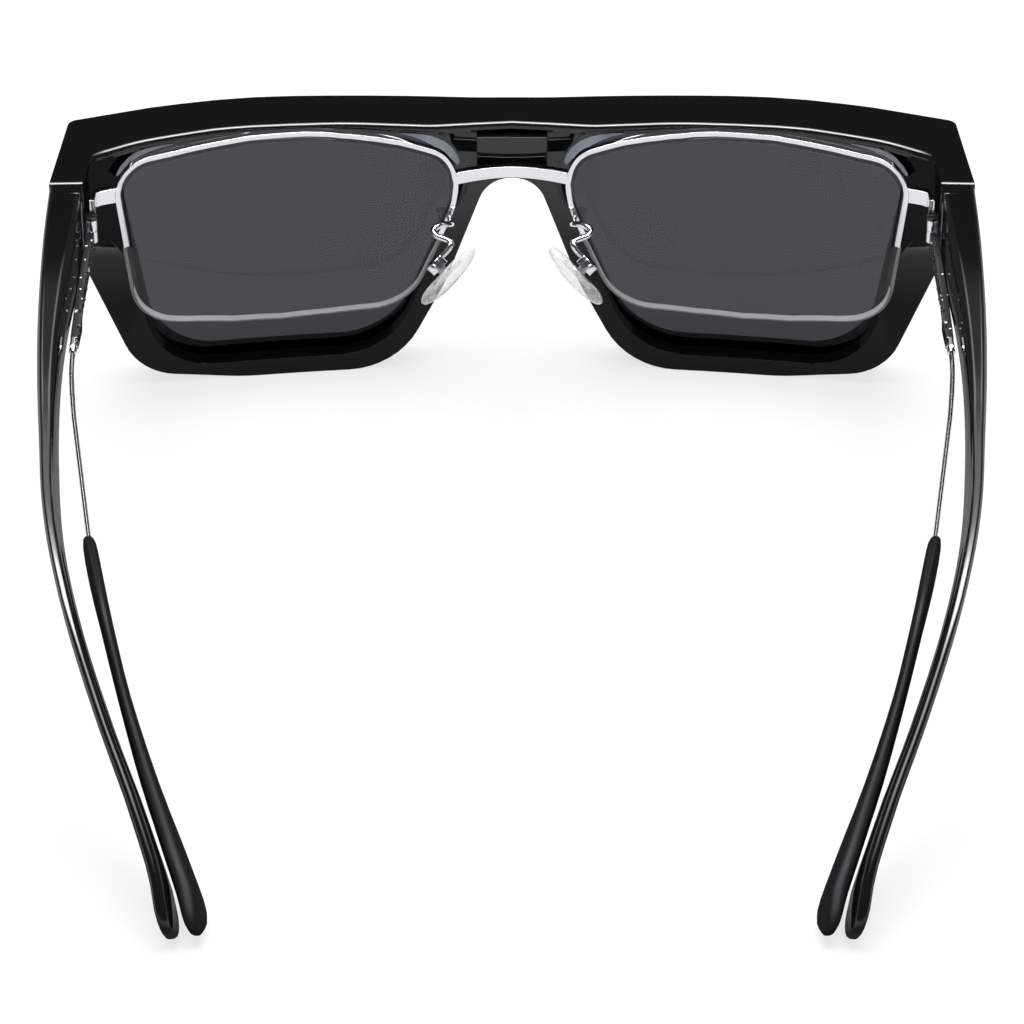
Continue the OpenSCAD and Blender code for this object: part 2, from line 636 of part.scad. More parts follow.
function tip_ring(p) =
  [for (a = [360:-22.5:1])
    let (
      u = p[3] * sign(cos(a)) * pow(abs(cos(a)), 0.75),
      v = p[4] * sign(sin(a)) * pow(abs(sin(a)), 0.75)
    )
    [p[0] + u + v * p[5], p[1], p[2] + v]];
module optical_tip(s) {
  color([0.07, 0.07, 0.07]) on_side(s) skin([for (p = smooth_path(tip_stations, 3)) tip_ring(p)]);
}

// Nose pad, its box and the wire that carries them
pad_pos = [12, opt_y - 9.7, opt_top - 19];
pad_turn = 51;
pad_splay = -20;
pad_wire_path = [for (p = [
  [9.75, -0.8, 16.7], [10.1, -2, 16], [11.4, -3.4, 15.3], [12.6, -4.7, 15.5], [12, -5.9, 15.9],
  [10.4, -6.9, 16], [9.75, -7.8, 16.2], [10.5, -8.7, 17.1], [11.4, -9.2, 17.8], [11.9, -9.5, 18.3]])
  [p[0], opt_y + p[1], opt_top - p[2]]];
box_top = 1.1;
box_floor = -0.9;
lug_t = 1;
module at_pad(s) {
  on_side(s) translate(pad_pos) rotate([0, pad_turn, 0]) rotate([pad_splay, 0, 0]) children();
}
module pad_arm(s) {
  color("silver") on_side(s) wire(smooth_path(pad_wire_path, 3), pad_wire_d / 2);
}
module pad_box(s) {
  color("silver") at_pad(s) difference() {
    union() {
      translate([0, 0, box_floor]) cylinder(r = pad_box_r, h = box_top - box_floor - 0.4);
      translate([0, 0, box_top - 0.6]) cylinder(r1 = pad_box_r, r2 = pad_box_r - 0.6, h = 0.6);
    }
    translate([0, 0, box_floor - 1]) cylinder(r = pad_box_r - 0.4, h = 1 + 1.4);
    rotate([90, 0, 0]) cylinder(r = 0.37, h = 10, center = true);
  }
}
module pad_screw(s) {
  color("silver") at_pad(s) rotate([90, 0, 0]) {
    cylinder(r = 0.35, h = 2 * pad_box_r + 0.2, center = true);
    translate([0, 0, pad_box_r + 0.02]) cylinder(r = 0.6, h = 0.4);
  }
}
module pad_insert(s) {
  color([0.9, 0.9, 0.9, 0.8]) at_pad(s) difference() {
    union() {
      translate([-lug_t / 2, -0.8, -2.6]) cube([lug_t, 1.6, 2.6]);
      rotate([90, 0, 0]) cylinder(r = 0.5, h = 1.6, center = true);
      translate([0, 0, -2.6]) linear_extrude(0.6) polygon(closed_round([
        [-3.2, -1.6, 1.4], [3.2, -1.6, 1.4], [3.2, 1.6, 1.4], [-3.2, 1.6, 1.4]]));
    }
    rotate([90, 0, 0]) cylinder(r = 0.35 + run_gap, h = 4, center = true);
  }
}
function pad_ring(z) =
  let (f = sqrt(1 - pow(abs(z) / (pad_t / 2), 2.4) * 0.62))
  [for (a = [0:15:359])
    [pad_l / 2 * f * cos(a), pad_w / 2 * f * sign(sin(a)) * pow(abs(sin(a)), 0.85), z + 0.35 * cos(2 * a)]];
module nose_pad(s) {
  color([0.9, 0.9, 0.9, 0.4]) difference() {
    at_pad(s) translate([0, 0, box_floor - 0.6 - pad_t / 2])
      skin([for (k = [6:-1:-6]) pad_ring(pad_t / 2 * sin(k * 15))]);
    pad_insert(s);
  }
}

place() sun_front();
place() sun_lens(-1);  // sun_lens_left
place() sun_lens(1);  // sun_lens_right
place() hinge_leaf(-1, 0, 1, screw_r + 0.02);  // sun_front_hinge_left
place() hinge_leaf(1, 0, 1, screw_r + 0.02);  // sun_front_hinge_right
place() sun_hinge_screw(-1);  // sun_hinge_screw_left
place() sun_hinge_screw(1);  // sun_hinge_screw_right
place() sun_temple(-1);  // sun_temple_left
place() sun_temple(1);  // sun_temple_right
place() hinge_leaf(-1, 1, -1, screw_r + run_gap);  // sun_temple_hinge_left
place() hinge_leaf(1, 1, -1, screw_r + run_gap);  // sun_temple_hinge_right
place() optical_rim(-1);  // optical_rim_left
place() optical_rim(1);  // optical_rim_right
place() optical_bridge();
place() optical_lens(-1);  // optical_lens_left
place() optical_lens(1);  // optical_lens_right
place() optical_nylon(-1);  // optical_nylon_left
place() optical_nylon(1);  // optical_nylon_right
place() optical_endpiece(-1);  // optical_endpiece_left
place() optical_endpiece(1);  // optical_endpiece_right
place() optical_hinge_screw(-1);  // optical_hinge_screw_left
place() optical_hinge_screw(1);  // optical_hinge_screw_right
place() optical_temple(-1);  // optical_temple_left
place() optical_temple(1);  // optical_temple_right
place() optical_sleeve(-1);  // optical_sleeve_left
place() optical_sleeve(1);  // optical_sleeve_right
place() optical_clasp(-1);  // optical_clasp_left
place() optical_clasp(1);  // optical_clasp_right
place() optical_tip(-1);  // optical_tip_left
place() optical_tip(1);  // optical_tip_right
place() pad_arm(-1);  // pad_arm_left
place() pad_arm(1);  // pad_arm_right
place() pad_box(-1);  // pad_box_left
place() pad_box(1);  // pad_box_right
place() pad_screw(-1);  // pad_screw_left
place() pad_screw(1);  // pad_screw_right
place() pad_insert(-1);  // pad_insert_left
place() pad_insert(1);  // pad_insert_right
place() nose_pad(-1);  // nose_pad_left
place() nose_pad(1);  // nose_pad_right
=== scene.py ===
import json
import math

import bmesh
import bpy
from mathutils import Matrix, Vector


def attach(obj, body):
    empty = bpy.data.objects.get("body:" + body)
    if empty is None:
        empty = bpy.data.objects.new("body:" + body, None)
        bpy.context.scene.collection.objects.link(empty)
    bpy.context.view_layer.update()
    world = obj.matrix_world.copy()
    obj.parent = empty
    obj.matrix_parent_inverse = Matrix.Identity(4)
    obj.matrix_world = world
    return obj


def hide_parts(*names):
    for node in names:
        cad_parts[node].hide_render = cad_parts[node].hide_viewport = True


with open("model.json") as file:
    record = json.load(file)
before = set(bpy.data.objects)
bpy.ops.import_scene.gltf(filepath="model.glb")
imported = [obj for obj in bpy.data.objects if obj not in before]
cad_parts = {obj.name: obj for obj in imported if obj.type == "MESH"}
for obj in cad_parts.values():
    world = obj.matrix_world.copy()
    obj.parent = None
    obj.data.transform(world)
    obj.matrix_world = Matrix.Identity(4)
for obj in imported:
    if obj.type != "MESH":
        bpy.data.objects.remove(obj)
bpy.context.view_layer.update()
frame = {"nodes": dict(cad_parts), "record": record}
mm = 0.001
sides = {"left": -1, "right": 1}
shiftY = 68.6632  # from the design's own Y to the row frame's, in mm
print("frame loaded:", len(frame["nodes"]), "nodes")


def inRow(point):
    return Vector((point[0], point[1] + shiftY, point[2])) * mm


# The turn that points a camera or a lamp from its place to its aim
def turnTo(place, aim):
    return (aim - place).normalized().to_track_quat("-Z", "Y").to_euler()


# Camera, with its place and target in the design's mm

camera = {"place": (0, -703.355, 447.35), "target": (0, -40.095, 0), "lens": 178.84, "sensor": 36,
          "near": 0.01}


def makeCamera():
    data = bpy.data.cameras.new("camera")
    data.lens = camera["lens"]
    data.sensor_width = camera["sensor"]
    data.clip_start = camera["near"]
    eye = bpy.data.objects.new("camera", data)
    eye.location = inRow(camera["place"])
    eye.rotation_euler = turnTo(inRow(camera["place"]), inRow(camera["target"]))
    bpy.context.scene.collection.objects.link(eye)
    bpy.context.scene.camera = eye


# The lamps light the diffuse surfaces; mirrors see the room's own bank instead
lamps = [
    {"name": "overheadBank", "place": (0, 0.1, 1.1), "aim": (0, 0.02, 0), "size": (1.2, 0.7),
     "power": 17},
    {"name": "frontBank", "place": (0, 0.7, 0.9), "aim": (0, 0, 0), "size": (0.95, 0.62),
     "power": 5},
]


def makeLamp(spec):
    data = bpy.data.lights.new(spec["name"], "AREA")
    data.shape = "RECTANGLE"
    data.size, data.size_y = spec["size"]
    data.energy = spec["power"]
    lamp = bpy.data.objects.new(spec["name"], data)
    lamp.location = spec["place"]
    lamp.rotation_euler = turnTo(Vector(spec["place"]), Vector(spec["aim"]))
    lamp.visible_glossy = False
    bpy.context.scene.collection.objects.link(lamp)


# Helpers for node trees

white = (1, 1, 1, 1)


# Puts a number, or another node's output, into a socket
def feed(tree, value, socket):
    if isinstance(value, (int, float)):
        socket.default_value = value
    else:
        tree.links.new(value, socket)


def maths(tree, kind, *values):
    node = tree.nodes.new("ShaderNodeMath")
    node.operation = kind
    for value, socket in zip(values, node.inputs):
        feed(tree, value, socket)
    return node.outputs[0]


def smoothStep(tree, value, start, end):
    node = tree.nodes.new("ShaderNodeMapRange")
    node.interpolation_type = "SMOOTHSTEP"
    node.inputs["From Min"].default_value = start
    node.inputs["From Max"].default_value = end
    feed(tree, value, node.inputs["Value"])
    return node.outputs[0]


# A smooth step from 0 up to a height of its own
def risen(tree, value, step):
    start, end, height = step
    return maths(tree, "MULTIPLY", smoothStep(tree, value, start, end), height)


def mixed(tree, share, first, second):
    node = tree.nodes.new("ShaderNodeMixShader")
    for value, socket in zip((share, first, second), node.inputs):
        feed(tree, value, socket)
    return node.outputs[0]


def splitUp(tree, vector):
    node = tree.nodes.new("ShaderNodeSeparateXYZ")
    feed(tree, vector, node.inputs[0])
    return node.outputs


def fresnel(tree, ior):
    node = tree.nodes.new("ShaderNodeFresnel")
    node.inputs["IOR"].default_value = ior
    return node


def mirrorShader(tree, rough):
    node = tree.nodes.new("ShaderNodeBsdfAnisotropic")
    node.inputs["Color"].default_value = white
    feed(tree, rough, node.inputs["Roughness"])
    return node


# 1 for what the camera sees itself or through glass
def seenStraight(tree, path):
    byCamera, throughGlass = path.outputs["Is Camera Ray"], path.outputs["Is Transmission Ray"]
    return maths(tree, "MAXIMUM", byCamera, throughGlass)


# What a mirror sees of the room, by the angle up from the front horizon and over to the back:
# a faint pale strip, then one large soft bank overhead. Far to the sides it is dark
room = {
    "bank": 24, "fill": 0.42, "half": 0.25, "fade": 0.55, "side": 0.004,
    "steps": [(0, 0.004), (18, 0.004), (28, 0.002), (36, 0.005), (39, 0.09), (44, 0.12),
              (47, 0.055), (52, 0.09), (60, 0.15), (70, 0.38), (79, 0.85), (86, 1.0), (97, 1.0),
              (101, 0.4), (104, 0.05), (108, 0.003), (150, 0.003), (165, 0.01), (180, 0.02)]}


def background(tree, strength):
    node = tree.nodes.new("ShaderNodeBackground")
    node.inputs["Color"].default_value = white
    feed(tree, strength, node.inputs["Strength"])
    return node.outputs[0]


def makeWorld():
    world = bpy.data.worlds.new("room")
    bpy.context.scene.world = world
    world.use_nodes = True
    tree = world.node_tree
    tree.nodes.clear()
    place = tree.nodes.new("ShaderNodeTexCoord")
    ray = splitUp(tree, place.outputs["Generated"])
    up = maths(tree, "MAXIMUM", ray["Z"], 0.0)
    angle = maths(tree, "DIVIDE", maths(tree, "ARCTAN2", up, ray["Y"]), math.pi)
    ramp = tree.nodes.new("ShaderNodeValToRGB")
    feed(tree, angle, ramp.inputs[0])
    steps = [(degrees / 180, (level, level, level, 1)) for degrees, level in room["steps"]]
    first, last = ramp.color_ramp.elements
    first.color, last.color = steps[0][1], steps[-1][1]
    for position, colour in steps[1:-1]:
        ramp.color_ramp.elements.new(position).color = colour
    aside = smoothStep(tree, maths(tree, "ABSOLUTE", ray["X"]), room["half"], room["fade"])
    level = tree.nodes.new("ShaderNodeMix")
    level.data_type = "FLOAT"
    feed(tree, aside, level.inputs["Factor"])
    feed(tree, ramp.outputs[0], level.inputs["A"])
    level.inputs["B"].default_value = room["side"]
    mirrored = background(tree, maths(tree, "MULTIPLY", level.outputs["Result"], room["bank"]))
    path = tree.nodes.new("ShaderNodeLightPath")
    unseen = mixed(tree, path.outputs["Is Glossy Ray"], background(tree, room["fill"]), mirrored)
    out = tree.nodes.new("ShaderNodeOutputWorld")
    feed(tree, mixed(tree, seenStraight(tree, path), unseen, background(tree, 1)), out.inputs[0])


# Shares of plain white in the floor, as seen straight and in mirrors, and how bright mirrors see it
floor = {"half": 4, "colour": 0.8, "share": 0.74, "mirrored": 0.7, "mirrorLevel": 0.75}


def makePaper():
    paper = bpy.data.materials.new("paper")
    paper.use_nodes = True
    tree = paper.node_tree
    tree.nodes.clear()
    lit = tree.nodes.new("ShaderNodeBsdfDiffuse")
    lit.inputs["Color"].default_value = (floor["colour"],) * 3 + (1,)
    glow = tree.nodes.new("ShaderNodeEmission")
    glow.inputs["Color"].default_value = white
    path = tree.nodes.new("ShaderNodeLightPath")
    glossyRay = path.outputs["Is Glossy Ray"]
    dimmed = maths(tree, "MULTIPLY", glossyRay, 1 - floor["mirrorLevel"])
    feed(tree, maths(tree, "SUBTRACT", 1.0, dimmed), glow.inputs["Strength"])
    straight = maths(tree, "MULTIPLY", seenStraight(tree, path), floor["share"])
    bounced = maths(tree, "MULTIPLY", glossyRay, floor["mirrored"])
    share = maths(tree, "MAXIMUM", straight, bounced)
    out = tree.nodes.new("ShaderNodeOutputMaterial")
    feed(tree, mixed(tree, share, lit.outputs[0], glow.outputs[0]), out.inputs[0])
    return paper


def makeFloor():
    bm = bmesh.new()
    bmesh.ops.create_grid(bm, x_segments=1, y_segments=1, size=floor["half"])
    mesh = bpy.data.meshes.new("floor")
    bm.to_mesh(mesh)
    bm.free()
    mesh.materials.append(makePaper())
    ground = bpy.data.objects.new("floor", mesh)
    bpy.context.scene.collection.objects.link(ground)


bpy.context.scene.view_settings.view_transform = "Standard"
makeCamera()
for spec in lamps:
    makeLamp(spec)
makeWorld()
makeFloor()
print("camera, lamps, room and floor made")


# Finishes. Grain and studs are scales on Object coordinates, round is the shaded edge in mm,
# and limit is the brightest share of the gloss

finishes = {
    "blackAcetate": {"colour": (0.0042, 0.0042, 0.0043), "rough": 0.03, "swing": 0.03, "grain": 700,
                     "bump": 0.015, "round": 0.22, "limit": 0.13},
    "hingeSteel": {"colour": (0.6, 0.6, 0.62), "rough": 0.22, "swing": 0.15, "grain": 2500,
                   "bump": 0.05, "metal": 1},
    "polishedMetal": {"colour": (0.8, 0.8, 0.84), "rough": 0.05, "swing": 0.06, "grain": 1800,
                      "bump": 0.02, "metal": 1, "round": 0.12},
    "nylonCord": {"colour": (0.14, 0.14, 0.145), "rough": 0.2, "swing": 0.1, "grain": 3000,
                  "bump": 0.02},
    "blackLacquer": {"colour": (0.006, 0.006, 0.006), "rough": 0.18, "swing": 0.1, "grain": 2500,
                     "bump": 0.05},
    "blackSleeve": {"colour": (0.006, 0.006, 0.006), "rough": 0.16, "swing": 0.12, "grain": 2500,
                    "bump": 0.05, "studs": {"scale": 850, "size": 0.17, "rough": 0.45,
                                            "colour": (0.85, 0.85, 0.88)}},
    "blackTip": {"colour": (0.008, 0.008, 0.009), "rough": 0.4, "swing": 0.08, "grain": 2600,
                 "bump": 0.06, "limit": 0.008},
    "frostedEdge": {"colour": (0.4, 0.41, 0.42), "rough": 0.4, "swing": 0.15, "grain": 1500,
                    "bump": 0.1},
    # Painted reflection: the pale colour of the sickles on the tinted lens's edge stands in for the
    # light that edge reflects
    "lensEdgePaintedReflection": {"colour": (0.36, 0.395, 0.45), "rough": 0.2, "swing": 0.1, "grain": 1200,
                  "bump": 0.02},
}
surfaces = {"ior": 1.5, "detail": 4, "bumpDepth": 0.02, "roundSamples": 4}


def addGrain(tree, spec):
    place = tree.nodes.new("ShaderNodeTexCoord")
    noise = tree.nodes.new("ShaderNodeTexNoise")
    noise.inputs["Scale"].default_value = spec["grain"]
    noise.inputs["Detail"].default_value = surfaces["detail"]
    feed(tree, place.outputs["Object"], noise.inputs["Vector"])
    rough = tree.nodes.new("ShaderNodeMapRange")
    rough.inputs["To Min"].default_value = spec["rough"]
    rough.inputs["To Max"].default_value = spec["rough"] + spec["swing"]
    feed(tree, noise.outputs["Fac"], rough.inputs["Value"])
    return noise.outputs["Fac"], rough.outputs[0]


# A gloss that stays under its limit, also where it is seen along the surface. Its mask is painted
# shade: faces that look up and high places have more of it, and faces that look sideways or down
# and low places less, standing in for the object's own shadow in its reflections. Flat tops have
# less too, a painted darkening of the tops. Each step is from, to and height
coatPaintedShade = {"least": 0.2, "upward": (0, 0.35, 0.8), "high": (0.012, 0.036, 1.0),
        "flat": (0.988, 0.997, 0.88)}


def addCoatWithPaintedShade(tree, limit, under, rough, normal):
    gloss = mirrorShader(tree, rough)
    bounce = fresnel(tree, surfaces["ior"])
    for node in (gloss, bounce):
        feed(tree, normal, node.inputs["Normal"])
    face = tree.nodes.new("ShaderNodeNewGeometry")
    place = tree.nodes.new("ShaderNodeTexCoord")
    faceUp = splitUp(tree, face.outputs["Normal"])["Z"]
    height = splitUp(tree, place.outputs["Object"])["Z"]
    # Painted shade: less gloss on faces that look sideways or down and on low places
    upward, high = risen(tree, faceUp, coatPaintedShade["upward"]), risen(tree, height, coatPaintedShade["high"])
    most = maths(tree, "MAXIMUM", upward, high)
    share = maths(tree, "MINIMUM", bounce.outputs[0], limit)
    share = maths(tree, "MULTIPLY", share, maths(tree, "ADD", most, coatPaintedShade["least"]))
    # Painted shade: less gloss on flat tops
    kept = maths(tree, "SUBTRACT", 1.0, risen(tree, faceUp, coatPaintedShade["flat"]))
    return mixed(tree, maths(tree, "MULTIPLY", share, kept), under, gloss.outputs[0])


def addStuds(tree, studs, under):
    place = tree.nodes.new("ShaderNodeTexCoord")
    dots = tree.nodes.new("ShaderNodeTexVoronoi")
    dots.inputs["Scale"].default_value = studs["scale"]
    feed(tree, place.outputs["Object"], dots.inputs["Vector"])
    metal = tree.nodes.new("ShaderNodeBsdfPrincipled")
    metal.inputs["Base Color"].default_value = studs["colour"] + (1,)
    metal.inputs["Metallic"].default_value = 1
    metal.inputs["Roughness"].default_value = studs["rough"]
    inside = maths(tree, "LESS_THAN", dots.outputs["Distance"], studs["size"])
    return mixed(tree, inside, under, metal.outputs[0])


def makeFinish(name, spec):
    material = bpy.data.materials.new(name)
    material.use_nodes = True
    tree = material.node_tree
    shader = tree.nodes["Principled BSDF"]
    shader.inputs["Base Color"].default_value = spec["colour"] + (1,)
    shader.inputs["Metallic"].default_value = spec.get("metal", 0)
    shader.inputs["IOR"].default_value = surfaces["ior"]
    grain, rough = addGrain(tree, spec)
    feed(tree, rough, shader.inputs["Roughness"])
    bump = tree.nodes.new("ShaderNodeBump")
    bump.inputs["Strength"].default_value = spec["bump"]
    bump.inputs["Distance"].default_value = surfaces["bumpDepth"] * mm
    feed(tree, grain, bump.inputs["Height"])
    if "round" in spec:
        edge = tree.nodes.new("ShaderNodeBevel")
        edge.samples = surfaces["roundSamples"]
        edge.inputs["Radius"].default_value = spec["round"] * mm
        feed(tree, edge.outputs[0], bump.inputs["Normal"])
    feed(tree, bump.outputs[0], shader.inputs["Normal"])
    skin = shader.outputs[0]
    if "limit" in spec:
        shader.inputs["Specular IOR Level"].default_value = 0
        skin = addCoatWithPaintedShade(tree, spec["limit"], skin, rough, bump.outputs[0])
    if "studs" in spec:
        skin = addStuds(tree, spec["studs"], skin)
    feed(tree, skin, tree.nodes["Material Output"].inputs[0])
    return material


# Clear and tinted sheets: a mirror over a tint. The pads are milky too, most of all at their rim
sheets = {
    "tintedLens": {"tint": (0.198, 0.202, 0.217), "ior": 1.5, "gain": 0.25, "rough": 0.0,
                   "swing": 0.02, "grain": 300},
    "clearLens": {"tint": (0.965, 0.967, 0.97), "ior": 1.45, "gain": 0.7, "rough": 0.0,
                  "swing": 0.02, "grain": 300},
    "clearInsert": {"tint": (0.86, 0.86, 0.87), "ior": 1.6, "gain": 1.0, "rough": 0.1,
                    "swing": 0.1, "grain": 1500, "haze": 0.35, "hazeColour": (0.8, 0.8, 0.82)},
    "clearPad": {"tint": (0.93, 0.925, 0.915), "ior": 1.42, "gain": 1.0, "rough": 0.06,
                 "swing": 0.1, "grain": 900, "haze": 0.22, "hazeColour": (0.86, 0.85, 0.84)},
}
milk = {"blend": 0.35, "rim": 0.35, "patches": (0.1, 0.6)}


def addMilk(tree, spec, under, grain):
    haze = tree.nodes.new("ShaderNodeBsdfDiffuse")
    haze.inputs["Color"].default_value = spec["hazeColour"] + (1,)
    rim = tree.nodes.new("ShaderNodeLayerWeight")
    rim.inputs["Blend"].default_value = milk["blend"]
    atRim = maths(tree, "MULTIPLY", rim.outputs["Facing"], milk["rim"])
    share = maths(tree, "ADD", atRim, spec["haze"])
    share = maths(tree, "MULTIPLY", share, smoothStep(tree, grain, *milk["patches"]))
    return mixed(tree, share, under, haze.outputs[0])


def makeSheet(name, spec):
    material = bpy.data.materials.new(name)
    material.use_nodes = True
    tree = material.node_tree
    tree.nodes.clear()
    grain, rough = addGrain(tree, spec)
    clear = tree.nodes.new("ShaderNodeBsdfTransparent")
    clear.inputs["Color"].default_value = spec["tint"] + (1,)
    under = clear.outputs[0]
    if "haze" in spec:
        under = addMilk(tree, spec, under, grain)
    face = tree.nodes.new("ShaderNodeNewGeometry")
    front = maths(tree, "SUBTRACT", 1.0, face.outputs["Backfacing"])
    share = maths(tree, "MULTIPLY", fresnel(tree, spec["ior"]).outputs[0], front)
    share = maths(tree, "MULTIPLY", share, spec["gain"])
    out = tree.nodes.new("ShaderNodeOutputMaterial")
    feed(tree, mixed(tree, share, under, mirrorShader(tree, rough).outputs[0]), out.inputs[0])
    return material


finish = {name: makeFinish(name, spec) for name, spec in finishes.items()}
finish.update({name: makeSheet(name, spec) for name, spec in sheets.items()})
print("finishes made:", len(finish))


# Pieces

flatWeight = 90  # of 100, for the large faces' say in the shading beside their roundings


def addPiece(name, bm, finishNames, body, slot, *nodes):
    mesh = bpy.data.meshes.new(name)
    bm.to_mesh(mesh)
    bm.free()
    for key in finishNames:
        mesh.materials.append(finish[key])
    piece = bpy.data.objects.new(name, mesh)
    bpy.context.scene.collection.objects.link(piece)
    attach(piece, body)
    if nodes:
        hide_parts(*nodes)
    return piece


def smoothByAngle(piece, angle):
    bpy.context.view_layer.objects.active = piece
    piece.select_set(True)
    bpy.ops.object.shade_smooth_by_angle(angle=math.radians(angle))
    piece.select_set(False)
    flat = piece.modifiers.new("flat", "WEIGHTED_NORMAL")
    flat.keep_sharp = True
    flat.weight = flatWeight


# Dressed CAD nodes, by the node's name without its side. A bevel is its width in mm, the least
# angle of its edges and its segments, smooth is the shading's angle, and edge a second finish
shells = {
    "sun_front": {"finish": "blackAcetate", "crown": (0.75, 28, 5), "bevel": (0.3, 40, 2),
                  "smooth": 34},
    "sun_temple": {"finish": "blackAcetate", "bevel": (0.3, 34, 2), "smooth": 40},
    "sun_lens": {"finish": "tintedLens", "smooth": 30},
    "sun_front_hinge": {"finish": "hingeSteel", "bevel": (0.08, 40, 2), "smooth": 35},
    "sun_temple_hinge": {"finish": "hingeSteel", "bevel": (0.08, 40, 2), "smooth": 35},
    "sun_hinge_screw": {"finish": "hingeSteel", "bevel": (0.05, 40, 2), "smooth": 35},
    "optical_rim": {"finish": "polishedMetal", "slim": 0.55, "smooth": 40},
    "optical_bridge": {"finish": "polishedMetal", "bevel": (0.12, 40, 2), "smooth": 40},
    "optical_lens": {"finish": "clearLens", "slim": 0, "edge": "frostedEdge", "smooth": 30},
    "optical_nylon": {"finish": "nylonCord", "slim": 0, "smooth": 40},
    "optical_endpiece": {"finish": "polishedMetal", "bevel": (0.1, 40, 2), "smooth": 40},
    "optical_hinge_screw": {"finish": "blackLacquer", "bevel": (0.06, 40, 2), "smooth": 35},
    "optical_temple": {"finish": "polishedMetal", "smooth": 40},
    "optical_sleeve": {"finish": "blackSleeve", "bevel": (0.1, 50, 2), "smooth": 40},
    "optical_clasp": {"finish": "polishedMetal", "bevel": (0.06, 50, 2), "smooth": 40},
    "optical_tip": {"finish": "blackTip", "smooth": 60},
    "pad_arm": {"finish": "polishedMetal", "smooth": 60},
    "pad_box": {"finish": "polishedMetal", "bevel": (0.45, 40, 5), "smooth": 60},
    "pad_screw": {"finish": "polishedMetal", "bevel": (0.06, 50, 2), "smooth": 40},
    "pad_insert": {"finish": "clearInsert", "bevel": (0.12, 50, 2), "smooth": 40},
}
record = frame["record"]
nodeBody = {node: body for body, nodes in record["behaviour"]["bodies"].items() for node in nodes}
nodeSlot = {part["node"]: part["material_slot"] for part in record["subparts"]}

merging = {"gap": 0.002, "flat": 0.6}  # mm and degrees
crown = {"low": 44.4, "up": 0.8, "back": -0.5}  # the brow's back lip: height in mm, then normals
frosted = {"top": 27, "across": 0.6}  # the clear lens's free edge: height in mm, then normal


def kindOf(node):
    return node.rsplit("_", 1)[0] if node.endswith(("_left", "_right")) else node


def mergedCopy(node):
    bm = bmesh.new()
    bm.from_mesh(frame["nodes"][node].data)
    bmesh.ops.remove_doubles(bm, verts=bm.verts, dist=merging["gap"] * mm)
    bmesh.ops.dissolve_limit(bm, angle_limit=math.radians(merging["flat"]), verts=bm.verts,
                             edges=bm.edges)
    return bm


def isCrown(edge):
    high = min(v.co.z for v in edge.verts) > crown["low"] * mm
    up = max(f.normal.z for f in edge.link_faces) > crown["up"]
    back = min(f.normal.y for f in edge.link_faces) < crown["back"]
    return high and up and back


# The crown's tiny edges would clamp its wide rounding away, so it isn't clamped
def bevelSharp(bm, width, sharp, segments, keep=None):
    edges = [e for e in bm.edges
             if len(e.link_faces) == 2 and e.calc_face_angle(0) > math.radians(sharp)
             and (keep is None or keep(e))]
    bmesh.ops.bevel(bm, geom=edges, offset=width * mm, offset_type="OFFSET", affect="EDGES",
                    segments=segments, profile=0.5, material=-1, clamp_overlap=keep is not isCrown)


# The inner glasses' outline is a smooth arch: how far its top stands above the CAD's, in mm, by
# the distance from the middle. It is fully raised above high and not at all below low, and stays
# under top. The rim's inner side, its faces towards the middle of the lens, is slimmer too
arch = {"lift": [(7.5, 0.5), (8.6, 0.9), (10.4, 1.3), (17.8, 1.3), (19.6, 1.1), (21.5, 0.93),
                 (23.3, 0.74), (27, 0.55), (32.5, 0.72), (41.7, 0.72), (43.6, 0.55), (47.2, 0.37),
                 (50.9, 0.2), (54, 0)],
        "low": 33, "high": 41, "top": 46.62, "cut": 1.3, "middle": (33, 34), "inward": 0.12,
        "across": 0.5, "near": 1e-7}


def liftAt(x):
    steps = arch["lift"]
    x = min(max(x, steps[0][0]), steps[-1][0])
    for (x0, lift0), (x1, lift1) in zip(steps, steps[1:]):
        if x <= x1:
            return lift0 + (lift1 - lift0) * (x - x0) / (x1 - x0)


# Which way a vertex on the rim's inner side moves to make the rim slimmer
def slimming(vert, side):
    x, z = arch["middle"]
    centre = Vector((side * x * mm - vert.co.x, 0, z * mm - vert.co.z)).normalized()
    inner = [f.normal for f in vert.link_faces
             if f.normal.dot(centre) > arch["inward"] and abs(f.normal.y) < arch["across"]]
    return -sum(inner, Vector()).normalized() if inner else Vector()


def reshape(bm, slim):
    side = 1 if sum(v.co.x for v in bm.verts) > 0 else -1
    low, high = min(v.co.x for v in bm.verts), max(v.co.x for v in bm.verts)
    count = int((high - low) / (arch["cut"] * mm))
    for k in range(1, count):
        bmesh.ops.bisect_plane(bm, geom=bm.verts[:] + bm.edges[:] + bm.faces[:], dist=arch["near"],
                               plane_co=(low + (high - low) * k / count, 0, 0), plane_no=(1, 0, 0))
    moves = [slimming(vert, side) * slim * mm for vert in bm.verts]
    for vert, move in zip(bm.verts, moves):
        vert.co += move
        share = min(max((vert.co.z / mm - arch["low"]) / (arch["high"] - arch["low"]), 0), 1)
        lift = liftAt(abs(vert.co.x) / mm) * share * share * (3 - 2 * share)
        vert.co.z = min(vert.co.z + lift * mm, max(vert.co.z, arch["top"] * mm))
    bm.normal_update()


def frostEdge(bm):
    for face in bm.faces:
        low = face.calc_center_median().z < frosted["top"] * mm
        face.material_index = int(low and abs(face.normal.y) < frosted["across"])


